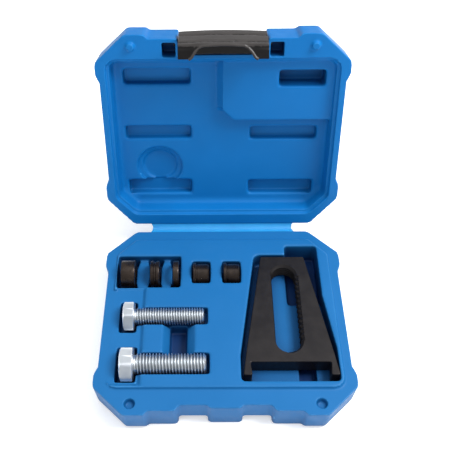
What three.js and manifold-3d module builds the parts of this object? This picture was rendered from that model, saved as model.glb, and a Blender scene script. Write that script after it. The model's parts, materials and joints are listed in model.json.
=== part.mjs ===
// Ball joint separator set in its blow-moulded case, open, with its tools in the tray.
//
// Millimetres, +Z up, +X to the right, +Y towards the hinge. The origin is the centre of the
// case's underside. Each half of the case is drawn lying open with its inside up: x across,
// d away from the hinge axis, z up from the rim plane. The base runs from the hinge towards -Y.
// The lid is the same drawing mirrored to run towards +Y, and its group then raises it about the
// hinge axis, half a gap above the base's rim, to where it stands.

import * as THREE from 'three';
import { mergeVertices } from 'three/addons/utils/BufferGeometryUtils.js';
import Module from 'manifold-3d';

const wasm = await Module();
wasm.setup();

// ---- driving dimensions -------------------------------------------------------------------

const HALF_HEIGHT = 18;      // height of each half of the case
const HINGE_Y = 66;          // hinge axis behind the origin
const LID_OPEN = 104;        // degrees from closed to the resting position
const GAP = 0.3;             // clearance between neighbouring pieces

const SHELL_WALL = 1.4;      // outer wall of a half
const SKIN = 1.4;            // inner wall: tray, pockets, recess
const FLANGE = 1.6;          // thickness of the rim
const FOOT_ROUND = 3;        // rounding between an outer wall and its floor

const BASE_REAR = 3.8;       // rear edge of the base, from the hinge axis
const LID_REAR = 2.4;        // rear edge of the lid
const BASE_REAR_HALF = 54.3; // half width of the base's rear edge
const LID_REAR_HALF = 56.2;  // half width of the lid's rear edge
const CORNER_FRONT = 129;    // front of the corner blocks
const STEP_FRONT = 126.5;    // front of the stretch between corner block and notch
const NOTCH_FRONT = 123.2;   // front wall behind the latch
const BLOCK_FRONT = 124.9;   // small block in the middle of the notch
const SIDE = 70;             // half width along the straight sides
const CORNER_SIDE = 72;      // half width at the corner blocks

const PLATEAU = 1.9;         // raised tray surface above the rim
const STRIP = 0.05;          // lower strip of the tray beside the bolt heads
const LID_LEDGE = 2;         // first step of the lid's recess
const LID_FLOOR = 10;        // depth of the lid's recess
const LID_PAD = 5;           // depth over the raised pad
const LID_SLOT = 14.6;       // depth of the stiffening slots

const PIN = { x: 51.2, d: 122.4, r: 2.6, height: 2 };   // locating pin of the lid
const PIN_SOCKET = { mouth: 3.1, draft: 0.8, depth: 3, wall: 1.6 };

const LATCH = { half: 24.4, head: -7, lip: 16, lipInner: 14, front: 129, wall: 1.4 };
const LATCH_GAP = 24.8;      // half width of the lid's notch for the latch
const LATCH_GAP_FACE = 117.2; // the notch's wall towards the recess
const PIVOT = { d: 122.5, z: -4.5, r: 1.8, hole: 2.1, boss: 2.2, reach: 27.6 };
const CATCH = { underside: -13.4, face: 117.8, inner: 9.5, outer: 25.2 };

const M10 = { d: 68.4, z: 0.8, r: 5, flats: 16, head: 6.4, length: 40, x: -57.9 };
const M12 = { d: 99.3, z: 0.4, r: 6, flats: 18, head: 7.5, length: 40, x: -57.7 };

const RING_D = 37;           // rings and bushes lie on one line
const RINGS = [
  { name: 'ring_wide', x0: -61.5, x1: -53.2, r: 8.4, bore: 5.2 },
  { name: 'ring_medium', x0: -43.9, x1: -38.5, r: 8, bore: 5.2 },
  { name: 'ring_thin', x0: -30.2, x1: -26.7, r: 8, bore: 6.2 },
];
const BUSHES = [
  { name: 'bush_plain', x0: -18.1, x1: -8.5, r: 6.2, collar: 7, bore: 3.1 },
  { name: 'bush_stepped', x0: 0.4, x1: 10, r: 6.2, collar: 7, bore: 4.1 },
];
const RING_Z = -0.4;
const BUSH_Z = -1;

const FRAME = {
  x: 36.5, top: 2, thickness: 10, back: 25.4, waist: 92, fork: 98.9, tip: 106.2,
  backHalf: 13.7, frontHalf: 25.8, forkHalf: 22,
  slotBack: 40.4, slotFront: 85.2, slotRadius: 7.4, bite: 6, bites: 9,
};

// ---- shapes -------------------------------------------------------------------------------

// [x, d] corners of the right half, back to front, mirrored into a whole outline.
function mirrored(right) {
  const left = right.map(([x, d, r]) => [-x, d, r]).reverse();
  return [...right, ...left];
}

// Corners [x, d, radius] with each corner turned into an arc, as points in the XY plane.
function rounded(corners, radius = 2, steps = 3) {
  const points = [];
  corners.forEach(([x, d, own], i) => {
    const corner = new THREE.Vector2(x, -d);
    const before = corners[(i + corners.length - 1) % corners.length];
    const after = corners[(i + 1) % corners.length];
    const a = new THREE.Vector2(before[0], -before[1]).sub(corner).normalize();
    const b = new THREE.Vector2(after[0], -after[1]).sub(corner).normalize();
    const r = own ?? radius;
    if (r === 0) {
      points.push(corner);
      return;
    }
    const half = Math.acos(THREE.MathUtils.clamp(a.dot(b), -1, 1)) / 2;
    const reach = r / Math.tan(half);
    const centre = a.clone().add(b).normalize().multiplyScalar(r / Math.sin(half)).add(corner);
    const start = corner.clone().addScaledVector(a, reach).sub(centre);
    const end = corner.clone().addScaledVector(b, reach).sub(centre);
    let sweep = end.angle() - start.angle();
    if (sweep > Math.PI) sweep -= 2 * Math.PI;
    if (sweep < -Math.PI) sweep += 2 * Math.PI;
    for (let k = 0; k <= steps; k++) {
      const turned = start.clone().rotateAround(new THREE.Vector2(), sweep * k / steps);
      points.push(turned.add(centre));
    }
  });
  return points;
}

// The same outline moved out by amount, or in when it is negative.
function grown(points, amount) {
  const sign = THREE.ShapeUtils.isClockWise(points) ? -1 : 1;
  return points.map((point, i) => {
    const before = points[(i + points.length - 1) % points.length];
    const after = points[(i + 1) % points.length];
    const a = point.clone().sub(before).normalize();
    const b = after.clone().sub(point).normalize();
    const normal = new THREE.Vector2(a.y + b.y, -a.x - b.x).normalize();
    const stretch = Math.max(0.5, normal.x * a.y - normal.y * a.x);
    return point.clone().addScaledVector(normal, sign * amount / stretch);
  });
}

function rectangle(x0, x1, d0, d1, radius = 0) {
  return rounded([[x0, d0], [x1, d0], [x1, d1], [x0, d1]], radius);
}

function circle(x, d, radius, steps = 24) {
  const around = (k) => 2 * Math.PI * k / steps;
  const point = (k) => new THREE.Vector2(x + radius * Math.cos(around(k)), -d + radius * Math.sin(around(k)));
  return Array.from({ length: steps }, (_, k) => point(k));
}

// A closed three.js geometry as a manifold solid, with its faces turned to point out.
function solid(geometry) {
  const bare = new THREE.BufferGeometry();
  bare.setAttribute('position', geometry.getAttribute('position'));
  if (geometry.index) bare.setIndex(geometry.index);
  const merged = mergeVertices(bare, 1e-4);
  const vertProperties = new Float32Array(merged.getAttribute('position').array);
  const triVerts = new Uint32Array(merged.index.array);
  if (signedVolume(vertProperties, triVerts) < 0) triVerts.reverse();
  return new wasm.Manifold(new wasm.Mesh({ numProp: 3, vertProperties, triVerts }));
}

function signedVolume(vertices, triangles) {
  const corner = (i) => new THREE.Vector3().fromArray(vertices, 3 * triangles[i]);
  let sum = 0;
  for (let i = 0; i < triangles.length; i += 3) {
    sum += corner(i).dot(corner(i + 1).cross(corner(i + 2)));
  }
  return sum / 6;
}

function prism(points, z0, z1) {
  const geometry = new THREE.ExtrudeGeometry(new THREE.Shape(points), { depth: z1 - z0, bevelEnabled: false });
  return solid(geometry.translate(0, 0, z0));
}

function box(x0, x1, d0, d1, z0, z1) {
  const geometry = new THREE.BoxGeometry(x1 - x0, d1 - d0, z1 - z0);
  return solid(geometry.translate((x0 + x1) / 2, -(d0 + d1) / 2, (z0 + z1) / 2));
}

// A prism that is full size at its mouth and has drawn in by draft at its floor below.
function drafted(points, mouth, floor, draft, segments = 1) {
  const geometry = new THREE.ExtrudeGeometry(new THREE.Shape(points), {
    depth: 1, bevelThickness: mouth - floor, bevelSize: draft, bevelOffset: -draft, bevelSegments: segments,
  });
  const slab = box(-200, 200, -200, 200, floor, mouth);
  return solid(geometry.translate(0, 0, mouth)).intersect(slab);
}

// A profile of [radius, x] pairs turned about a line along X.
function turned(profile, d, z, segments = 24) {
  const points = profile.map(([r, x]) => new THREE.Vector2(r, x));
  const geometry = new THREE.LatheGeometry(points, segments).rotateZ(-Math.PI / 2);
  return solid(geometry.translate(0, -d, z));
}

// A section of [d, z] pairs drawn along X.
function across(section, x0, x1) {
  const shape = new THREE.Shape(section.map(([d, z]) => new THREE.Vector2(-d, z)));
  const geometry = new THREE.ExtrudeGeometry(shape, { depth: x1 - x0, bevelEnabled: false });
  geometry.rotateX(Math.PI / 2).rotateZ(Math.PI / 2);
  return solid(geometry.translate(x0, 0, 0));
}

function union(...parts) {
  return parts.reduce((sum, part) => sum.add(part));
}

function cut(body, ...tools) {
  return tools.reduce((rest, tool) => rest.subtract(tool), body);
}

// ---- outlines of the case -----------------------------------------------------------------

const backCorners = (rear, half) => [
  [half, rear, 4], [CORNER_SIDE, 21.2, 4], [CORNER_SIDE, 31, 3], [SIDE, 35.4, 3],
];
const SIDE_CORNERS = [
  [SIDE, 100.4, 3], [CORNER_SIDE, 104.6, 3], [CORNER_SIDE, 112.6, 4], [54.6, CORNER_FRONT, 4],
];
const STEP_CORNERS = [[43.6, CORNER_FRONT], [41.6, STEP_FRONT]];

const BASE_OUTLINE = rounded(mirrored([
  ...backCorners(BASE_REAR, BASE_REAR_HALF), ...SIDE_CORNERS, ...STEP_CORNERS,
  [27.1, STEP_FRONT], [24.6, NOTCH_FRONT], [10, NOTCH_FRONT], [8, BLOCK_FRONT],
]));
const LID_OUTLINE = rounded(mirrored([
  ...backCorners(LID_REAR, LID_REAR_HALF), ...SIDE_CORNERS, ...STEP_CORNERS,
  [LATCH_GAP, STEP_FRONT, 1.6], [LATCH_GAP, LATCH_GAP_FACE, 1],
]));
// The floor's rounding follows the eight long edges and ignores the small steps.
const floorOutline = (rear, half) => rounded(mirrored([
  [half, rear], [CORNER_SIDE + 0.1, 21.2], [CORNER_SIDE + 0.1, 112.6], [54.6, CORNER_FRONT],
]), 0);

const BASE_EDGES = { outline: BASE_OUTLINE, floorEdge: floorOutline(BASE_REAR, BASE_REAR_HALF) };
const LID_EDGES = { outline: LID_OUTLINE, floorEdge: floorOutline(LID_REAR, LID_REAR_HALF) };

// The lid's recess: a ledge around its mouth, a drafted wall and a rounded foot.
const RECESS_OUTLINE = rounded(mirrored([
  [54.2, 11.6, 5], [64.6, 23.1, 5], [64.6, 112.8, 5],
]));
const LEDGE_OUTLINE = grown(RECESS_OUTLINE, 1.9);   // ledge width
const LEDGE_DRAFT = 0.5;
const RECESS_DRAFT = 1.2;
const RECESS_FILLET = 3.6;
// The base's plateau stands inside the closed lid's ledge.
const PLATEAU_OUTLINE = rounded(mirrored([
  [54, 11.9, 3], [64.6, 23.6, 3], [64.6, 113.7, 6],
]));
const PLATEAU_DRAFT = 0.7;
const SUNK = 0.5;            // how far joined walls reach into each other

// ---- pockets of the tray ------------------------------------------------------------------

const frameX = (x) => FRAME.x + x;

// Each pocket: outline at its mouth, and the height of its floor from the rim plane.
const TRAY_POCKETS = [
  { name: 'ring trough', outline: rectangle(-64.2, -25.6, 24.9, 48.2, 1), floor: RING_Z - RINGS[0].r - GAP },
  { name: 'plain bush', outline: rectangle(-18.8, -7.6, 29, 45.2, 1), floor: BUSH_Z - BUSHES[0].collar - GAP },
  { name: 'stepped bush', outline: rectangle(-0.5, 10.8, 29, 45.2, 1), floor: BUSH_Z - BUSHES[1].collar - GAP },
  { name: 'M10 head', outline: rectangle(-60.5, -50.4, 58.2, 78.6, 1), floor: M10.z - M10.flats / 2 - GAP },
  { name: 'M10 shank', outline: rectangle(-52, -9.2, 62.7, 74.1, 1), floor: M10.z - M10.r - GAP },
  { name: 'M12 head', outline: rectangle(-60.3, -48.9, 88.4, 110.2, 1), floor: M12.z - M12.flats / 2 - GAP },
  { name: 'M12 shank', outline: rectangle(-50, -8.4, 92.7, 105.9, 1), floor: M12.z - M12.r - GAP },
  { name: 'finger channel', outline: rectangle(-31, -21, 72, 95, 1), floor: -11 },
  { name: 'frame', outline: rounded([
    [frameX(-17.2), 24.2, 4], [frameX(15), 24.2, 2], [frameX(21.9), 54.5, 2], [frameX(26.4), 90, 3],
    [frameX(26.5), 110.2, 2], [frameX(-27.6), 110.2, 2], [frameX(-27.6), 94, 3],
  ]), floor: FRAME.top - FRAME.thickness - GAP },
  { name: 'frame relief', outline: rectangle(38.4, 58.4, 17.4, 55, 2), floor: -12.6 },
  { name: 'fork relief', outline: rectangle(41.5, 51.5, 92, 110.2, 1), floor: -14 },
];
const POCKET_DRAFT = 0.25;

// Ribs that keep the rings apart: [x0, x1] in the ring trough, drawn in at both ends.
const RIBS = [[-52.6, -44.6], [-37.8, -30.9]];
const RIB_TOP = -2.5;

const ribOutline = ([x0, x1]) => rounded([
  [x0 + 1.6, 25.5], [x1 - 1.6, 25.5], [x1, 31.5], [x1, 42.5],
  [x1 - 1.6, 48.8], [x0 + 1.6, 48.8], [x0, 42.5], [x0, 31.5],
], 0);

// ---- the two halves -----------------------------------------------------------------------

// Everything inside an outline down to a floor with a rounded foot.
function block({ outline, floorEdge }, rim, floor, inset) {
  const foot = grown(floorEdge, -inset);
  const sides = prism(foot, floor + FOOT_ROUND, rim);
  const taper = drafted(foot, floor + FOOT_ROUND, floor, FOOT_ROUND, 3);
  return prism(grown(outline, -inset), floor, rim).intersect(sides.add(taper));
}

// The wall of a pocket before the pocket itself is cut out of it.
function tub(outline, mouth, floor, draft) {
  return drafted(grown(outline, SKIN), mouth, floor - SKIN, draft);
}

// The outer wall of the base: an open tub under the rim, with two catches for the latch.
function baseShell() {
  const { underside, face, inner, outer } = CATCH;
  const recess = (x0, x1, d0, top) => box(x0, x1, d0, CORNER_FRONT + 1, -HALF_HEIGHT - 1, top);
  let body = block(BASE_EDGES, -FLANGE - GAP, -HALF_HEIGHT, 0);
  let inside = block(BASE_EDGES, 0, -HALF_HEIGHT + SHELL_WALL, SHELL_WALL);
  for (const [x0, x1] of [[inner, outer], [-outer, -inner]]) {
    body = body.subtract(recess(x0, x1, face, underside));
    inside = inside.subtract(recess(x0 - SHELL_WALL, x1 + SHELL_WALL, face - SHELL_WALL, underside + SHELL_WALL));
  }
  return body.subtract(inside);
}

// The rim and tray of the base: a raised plateau with a pocket for every tool.
function baseTray() {
  const strip = box(-70, -48.2, 49.8, 110.6, STRIP, PLATEAU + 1);
  const plateau = drafted(PLATEAU_OUTLINE, PLATEAU, -SUNK, -PLATEAU_DRAFT);
  const hollow = prism(grown(PLATEAU_OUTLINE, -SKIN), -FLANGE - 1, STRIP - SKIN);
  let body = cut(union(prism(BASE_OUTLINE, -FLANGE, 0), plateau), strip, hollow);
  for (const { outline, floor } of TRAY_POCKETS) {
    body = body.add(tub(outline, -SUNK, floor, POCKET_DRAFT));
  }
  body = body.add(fingerScoop(SKIN, -SUNK));
  const { mouth, draft, depth, wall } = PIN_SOCKET;
  for (const side of [-1, 1]) {
    body = body.add(prism(circle(side * PIN.x, PIN.d, mouth + wall), -depth - SKIN, -SUNK));
  }
  for (const { outline, floor } of TRAY_POCKETS) {
    body = body.subtract(drafted(outline, PLATEAU + 1, floor, POCKET_DRAFT));
  }
  for (const side of [-1, 1]) {
    body = body.subtract(drafted(circle(side * PIN.x, PIN.d, mouth), 0.01, -depth, draft));
  }
  for (const rib of RIBS) {
    body = body.add(prism(ribOutline(rib), TRAY_POCKETS[0].floor - 0.5, RIB_TOP));
  }
  return body.subtract(fingerScoop(0, PLATEAU + 1));
}

// The slope on both sides of the finger channel, grown by the thickness of the skin under it.
function fingerScoop(skin, top) {
  const bottom = -3.2 - skin;
  const section = new THREE.Shape([[-35.8 - skin, top], [-15.4 + skin, top], [-21, bottom], [-31, bottom]]
    .map(([x, z]) => new THREE.Vector2(x, z)));
  const geometry = new THREE.ExtrudeGeometry(section, { depth: 20, bevelEnabled: false });
  return solid(geometry.rotateX(Math.PI / 2).translate(0, -73.5, 0));
}

// The outer wall of the lid, with the bore that the latch's pivots sit in.
function lidShell() {
  const { d, z, hole } = PIVOT;
  const bore = turned([[0, -30], [hole, -30], [hole, 30], [0, 30]], d, z, 16);
  const body = block(LID_EDGES, -FLANGE - GAP, -HALF_HEIGHT, 0);
  return cut(body, block(LID_EDGES, 0, -HALF_HEIGHT + SHELL_WALL, SHELL_WALL), bore);
}

// Stiffening slots of the lid: x0, x1, d0, d1 at their mouths in the recess floor.
const LID_SLOTS = [
  [-57.8, -18.4, 95.1, 104.8], [-58.6, -18.6, 59.1, 67.7], [-58.9, -19, 19.4, 29.5],
  [16.8, 57.2, 58.3, 66.9], [16.7, 57, 18.9, 28.7],
];
const PAD_SLOT = [32.5, 59.3, 95.4, 105.3];
const SLOT_CHAMFER = 0.8;
const PAD_OUTLINE = rounded([[0.4, 130, 0], [0.4, 80, 3], [6.6, 73.8, 3], [80, 73.8, 0], [80, 130, 0]], 0);
const LID_ROUND = { x: -38.6, d: 39.6, r: 14, inner: 10.8, step: 12.2, floor: 14 };
// Pocket beside the latch: x0, x1, back, front at the rim, front below the rim, bottom.
const LATCH_POCKET = [26.2, 33.8, 115.9, 124.2, 125.1, -9];

// The rim and inside of the lid: a recess with slots, a raised pad and a round well.
function lidTray() {
  const slotDraft = 0.5;
  const slots = LID_SLOTS.map((slot) => ({ outline: rectangle(...slot, 1.5), mouth: -LID_FLOOR }));
  slots.push({ outline: rectangle(...PAD_SLOT, 1.5), mouth: -LID_PAD });
  const { x, d, r, inner, step, floor } = LID_ROUND;

  let body = union(
    prism(LID_OUTLINE, -FLANGE, 0),
    drafted(grown(LEDGE_OUTLINE, SKIN - LEDGE_DRAFT / 2), -SUNK, -LID_LEDGE - SKIN, LEDGE_DRAFT),
    recessBody(SKIN),
  );
  for (const { outline } of slots) body = body.add(tub(outline, -LID_PAD, -LID_SLOT, slotDraft));
  body = body.add(prism(circle(x, d, r + SKIN), -step - SKIN, -LID_FLOOR));
  body = body.add(prism(circle(x, d, inner + SKIN), -floor - SKIN, -LID_FLOOR));

  const recess = recessBody(0);
  const pad = prism(PAD_OUTLINE, -LID_FLOOR - SKIN - 1, -LID_PAD);
  const underPad = prism(grown(PAD_OUTLINE, -SKIN), -LID_FLOOR - SKIN - 1, -LID_PAD - SKIN);
  const padReach = grown(RECESS_OUTLINE, -RECESS_DRAFT - SKIN);
  body = cut(body, drafted(LEDGE_OUTLINE, 0.01, -LID_LEDGE, LEDGE_DRAFT), recess.subtract(pad));
  body = body.subtract(underPad.intersect(prism(padReach, -LID_FLOOR - SKIN - 1, 0)));
  body = body.add(tub(slots.at(-1).outline, -LID_PAD, -LID_SLOT, slotDraft));
  for (const { outline, mouth } of slots) {
    body = body.subtract(drafted(outline, mouth + 0.01, -LID_SLOT, slotDraft));
    body = body.subtract(drafted(grown(outline, SLOT_CHAMFER), mouth + 0.01, mouth - SLOT_CHAMFER, SLOT_CHAMFER));
  }
  body = cut(body, drafted(circle(x, d, r), -LID_FLOOR + 0.01, -step, 0.3));
  body = cut(body, drafted(circle(x, d, inner), -step + 0.01, -floor, 0.3));

  const [x0, x1, d0, rimFront, d1, bottom] = LATCH_POCKET;
  for (const side of [-1, 1]) {
    const span = (a, b) => [Math.min(side * a, side * b), Math.max(side * a, side * b)];
    const wallFront = STEP_FRONT - SHELL_WALL - GAP;
    body = body.add(box(...span(x0 + GAP, x1 + SKIN), d0 - 1, wallFront, bottom - SKIN, -SUNK));
    body = body.subtract(box(...span(x0, x1), d0, d1, bottom, -FLANGE));
    body = body.subtract(box(...span(x0, x1), d0, rimFront, -FLANGE - SUNK, 1));
    body = body.add(pinOfLid(side));
  }
  return body;
}

// The recess below its ledge, grown by the thickness of the skin around it.
function recessBody(skin) {
  const wallFoot = -LID_FLOOR + RECESS_FILLET;
  const wall = drafted(grown(RECESS_OUTLINE, skin), 0.5 - LID_LEDGE, wallFoot, RECESS_DRAFT);
  const footEdge = grown(RECESS_OUTLINE, skin - RECESS_DRAFT);
  return wall.add(drafted(footEdge, wallFoot + 0.01, -LID_FLOOR - skin, RECESS_FILLET, 4));
}

// A locating pin that stands up from the lid's rim.
function pinOfLid(side) {
  const points = [[0, -SUNK], [PIN.r, -SUNK], [PIN.r, 0.6], [PIN.r - 0.7, PIN.height], [0, PIN.height]];
  const geometry = new THREE.LatheGeometry(points.map(([r, z]) => new THREE.Vector2(r, z)), 24);
  return solid(geometry.rotateX(Math.PI / 2).translate(side * PIN.x, -PIN.d, 0));
}

// One side of the living hinge: the thin web that both halves are moulded with.
function hingeLeaf(rear) {
  return prism(rounded([
    [-45.5, 0.25, 0], [45.5, 0.25, 0], [46.5, rear - GAP, 0], [-46.5, rear - GAP, 0],
  ]), -1, -0.2);
}

// ---- latch --------------------------------------------------------------------------------

// A plate over the lid's free edge that hooks the base, with a flared lip and two pivots.
function latch() {
  const { half, head, lip, lipInner, front, wall } = LATCH;
  const ledge = NOTCH_FRONT + 0.5;
  const back = PIVOT.d - PIVOT.boss;
  const cheek = [
    [front, head], [front, lip], [121.2, lip], [121.2, lipInner], [ledge, lipInner],
    [ledge, 0.5], [back, -1.5], [back, head],
  ];
  const plate = box(-half, half, front - wall, front, head, lip);
  const headWall = box(-half, half, back, front, head, head + wall);
  const arch = [[24.4, 121.2], [17.2, 121.2], [14.6, 123.6], [11, 125.9], [5, 127], [0, 127.2]];
  const outline = [[-half, front], [half, front], ...arch, ...arch.slice(0, -1).reverse().map(([x, d]) => [-x, d])];
  const lipPlate = prism(rounded(outline, 0), lipInner, lip);
  let body = union(plate, headWall, lipPlate);
  for (const side of [-1, 1]) {
    const [a, b] = [side * half, side * (half - wall)].sort((p, q) => p - q);
    body = body.add(across(cheek, a, b));
    const [c, e] = [side * (half - 0.5), side * PIVOT.reach].sort((p, q) => p - q);
    body = body.add(turned([[0, c], [PIVOT.r, c], [PIVOT.r, e], [0, e]], PIVOT.d, PIVOT.z, 16));
  }
  const fingerGroove = box(-8.5, 8.5, front - 0.7, front + 1, 10.6, 12.4);
  return body.subtract(fingerGroove);
}

// ---- tools --------------------------------------------------------------------------------

// The forked frame: a slotted plate whose slot has round bites along its right side.
function separatorFrame() {
  const { x, top, thickness, back, waist, fork, tip, backHalf, frontHalf, forkHalf } = FRAME;
  const outline = rounded([
    [x + backHalf, back, 1.5], [x + frontHalf, waist, 2], [x + frontHalf, tip, 0.5],
    [x + forkHalf, tip, 0.5], [x + forkHalf, fork, 0.5], [x - forkHalf, fork, 0.5],
    [x - forkHalf, tip, 0.5], [x - frontHalf, tip, 0.5], [x - frontHalf, waist, 2],
    [x - backHalf, back, 1.5],
  ], 0, 2);
  const bottom = top - thickness;
  let body = prism(outline, bottom, top);
  const { slotBack, slotFront, slotRadius, bite, bites } = FRAME;
  const through = (points) => prism(points, bottom - 1, top + 1);
  body = cut(body, through(circle(x, slotBack, slotRadius)), through(circle(x, slotFront, slotRadius)));
  body = body.subtract(through(rectangle(x - slotRadius, x + bite, slotBack, slotFront)));
  for (let i = 1; i < bites - 1; i++) {
    const d = slotBack + (slotFront - slotBack) * i / (bites - 1);
    body = body.subtract(through(circle(x + slotRadius - bite, d, bite, 20)));
  }
  return body;
}

// A hexagon-headed screw along X, its head at the left and lying on a flat.
function hexScrew({ d, z, r, flats, head, length, x }) {
  const corner = flats / Math.sqrt(3);
  const hexagon = new THREE.CylinderGeometry(corner, corner, head, 6).rotateZ(-Math.PI / 2);
  hexagon.rotateX(Math.PI / 2).translate(x + head / 2, -d, z);
  const bevel = turned([
    [0, x - 1], [flats / 2 - 0.2, x - 0.2], [flats / 2 - 0.2, x], [corner + 0.1, x + 1.3],
    [corner + 0.1, x + head + 1], [0, x + head + 1],
  ], d, z);
  const end = x + head + length;
  const shank = turned([
    [0, x + head - 1], [r, x + head - 1], [r, end - 1], [r - 1, end], [0, end],
  ], d, z);
  return solid(hexagon).intersect(bevel).add(shank);
}

// A plain ring with broken edges.
function ring({ x0, x1, r, bore }) {
  const edge = 0.6;
  return turned([
    [bore, x0], [r - edge, x0], [r, x0 + edge], [r, x1 - edge], [r - edge, x1], [bore, x1], [bore, x0],
  ], RING_D, RING_Z);
}

// A bush with a collar at its left end.
function bush({ x0, x1, r, collar, bore }) {
  const collarWidth = 1.8;
  return turned([
    [bore, x0], [collar, x0], [collar, x0 + collarWidth], [r, x0 + collarWidth],
    [r, x1 - 0.5], [r - 0.5, x1], [bore, x1], [bore, x0],
  ], RING_D, BUSH_Z);
}

// ---- assembly -----------------------------------------------------------------------------

const FINISH = {
  baseBlue: { color: 0x1f74c4, roughness: 0.45, metalness: 0 },
  lidBlue: { color: 0x1a68b8, roughness: 0.45, metalness: 0 },
  web: { color: 0x2f9fe6, roughness: 0.35, metalness: 0 },
  latchBlack: { color: 0x2a2627, roughness: 0.5, metalness: 0 },
  blackOxide: { color: 0x3a3637, roughness: 0.5, metalness: 0.6 },
  ringBlack: { color: 0x2f2622, roughness: 0.35, metalness: 0.7 },
  zinc: { color: 0xc9d0d6, roughness: 0.3, metalness: 0.9 },
};

function named(name, body, finish, mirror = false) {
  const { vertProperties, triVerts } = body.getMesh();
  const geometry = new THREE.BufferGeometry();
  geometry.setAttribute('position', new THREE.BufferAttribute(vertProperties, 3));
  geometry.setIndex(new THREE.BufferAttribute(mirror ? triVerts.reverse() : triVerts, 1));
  if (mirror) geometry.scale(1, -1, 1);
  const mesh = new THREE.Mesh(geometry, new THREE.MeshStandardMaterial(FINISH[finish]));
  mesh.name = name;
  return mesh;
}

const base = new THREE.Group();
base.position.set(0, HINGE_Y, HALF_HEIGHT);
base.add(
  named('base_shell', baseShell(), 'baseBlue'),
  named('base_tray', baseTray(), 'baseBlue'),
  named('hinge_leaf_base', hingeLeaf(BASE_REAR), 'web'),
  named('separator_frame', separatorFrame(), 'blackOxide'),
  named('screw_m10', hexScrew(M10), 'zinc'),
  named('screw_m12', hexScrew(M12), 'zinc'),
  ...RINGS.map((spec) => named(spec.name, ring(spec), 'ringBlack')),
  ...BUSHES.map((spec) => named(spec.name, bush(spec), 'ringBlack')),
);

const lidHalf = new THREE.Group();
lidHalf.position.z = -GAP / 2;
lidHalf.add(
  named('lid_shell', lidShell(), 'lidBlue', true),
  named('lid_tray', lidTray(), 'lidBlue', true),
  named('hinge_leaf_lid', hingeLeaf(LID_REAR), 'web', true),
  named('latch', latch(), 'latchBlack', true),
);

const lid = new THREE.Group();
lid.position.set(0, HINGE_Y, HALF_HEIGHT + GAP / 2);
lid.rotation.x = THREE.MathUtils.degToRad(180 - LID_OPEN);
lid.add(lidHalf);

const set = new THREE.Group();
set.add(base, lid);
export default set;
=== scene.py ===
import json
import math

import bmesh
import bpy
import numpy as np
from mathutils import Matrix, Vector
from mathutils.geometry import tessellate_polygon


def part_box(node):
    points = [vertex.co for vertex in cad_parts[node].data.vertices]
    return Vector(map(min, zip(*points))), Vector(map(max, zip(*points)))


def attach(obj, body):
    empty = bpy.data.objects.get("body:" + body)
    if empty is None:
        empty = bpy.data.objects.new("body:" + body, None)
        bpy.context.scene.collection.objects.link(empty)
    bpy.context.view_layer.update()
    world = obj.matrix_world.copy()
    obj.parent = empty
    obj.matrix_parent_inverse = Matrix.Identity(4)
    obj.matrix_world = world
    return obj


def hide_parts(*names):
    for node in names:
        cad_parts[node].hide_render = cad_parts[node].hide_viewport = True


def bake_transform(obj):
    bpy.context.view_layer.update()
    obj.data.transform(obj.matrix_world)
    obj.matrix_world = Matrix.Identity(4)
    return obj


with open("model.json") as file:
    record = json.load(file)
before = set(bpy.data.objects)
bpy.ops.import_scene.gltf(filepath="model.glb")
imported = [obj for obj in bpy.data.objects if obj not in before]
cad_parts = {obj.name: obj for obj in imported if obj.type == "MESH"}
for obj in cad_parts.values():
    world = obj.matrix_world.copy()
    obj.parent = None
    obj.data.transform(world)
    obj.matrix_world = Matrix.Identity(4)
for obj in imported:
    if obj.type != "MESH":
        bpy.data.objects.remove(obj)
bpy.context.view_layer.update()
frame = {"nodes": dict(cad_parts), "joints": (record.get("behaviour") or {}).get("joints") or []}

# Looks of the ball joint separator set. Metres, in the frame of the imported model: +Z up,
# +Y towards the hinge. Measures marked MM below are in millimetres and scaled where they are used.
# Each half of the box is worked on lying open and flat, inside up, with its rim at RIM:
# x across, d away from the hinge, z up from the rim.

MM = 0.001
RIM = 0.018
JOINTS = {joint["name"]: joint for joint in frame["joints"]}
HINGE = Vector(JOINTS["lid_hinge"]["pos_m"])
LID_LEAN = math.radians(JOINTS["lid_hinge"]["range_deg"][1])
VOXEL = 0.5 * MM

# From the flat lid to where it stands at rest, and back.
RAISE = Matrix.Translation(HINGE) @ Matrix.Rotation(LID_LEAN, 4, "X") @ Matrix.Translation(-HINGE)
LAY_FLAT = RAISE.inverted()


# ---- meshes -------------------------------------------------------------------------------

def new_object(name, mesh, material, smooth=True):
    piece = bpy.data.objects.new(name, mesh)
    bpy.context.scene.collection.objects.link(piece)
    mesh.materials.clear()
    mesh.materials.append(material)
    mesh.polygons.foreach_set("use_smooth", [smooth] * len(mesh.polygons))
    return piece


def mesh_of(name, vertices, faces):
    mesh = bpy.data.meshes.new(name)
    mesh.from_pydata([tuple(v) for v in vertices], [], faces)
    mesh.validate()
    mesh.update()
    return mesh


def box_mesh(x0, x1, y0, y1, z0, z1):
    corners = [(x, y, z) for z in (z0, z1) for y in (y0, y1) for x in (x0, x1)]
    faces = [(0, 2, 3, 1), (4, 5, 7, 6), (0, 1, 5, 4), (2, 6, 7, 3), (0, 4, 6, 2), (1, 3, 7, 5)]
    return mesh_of("box", corners, faces)


def joined(name, parts):
    """(mesh, matrix) pairs as one mesh."""
    bm = bmesh.new()
    for mesh, matrix in parts:
        copy = mesh.copy()
        copy.transform(matrix)
        bm.from_mesh(copy)
        bpy.data.meshes.remove(copy)
    mesh = bpy.data.meshes.new(name)
    bm.to_mesh(mesh)
    bm.free()
    return mesh


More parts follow.
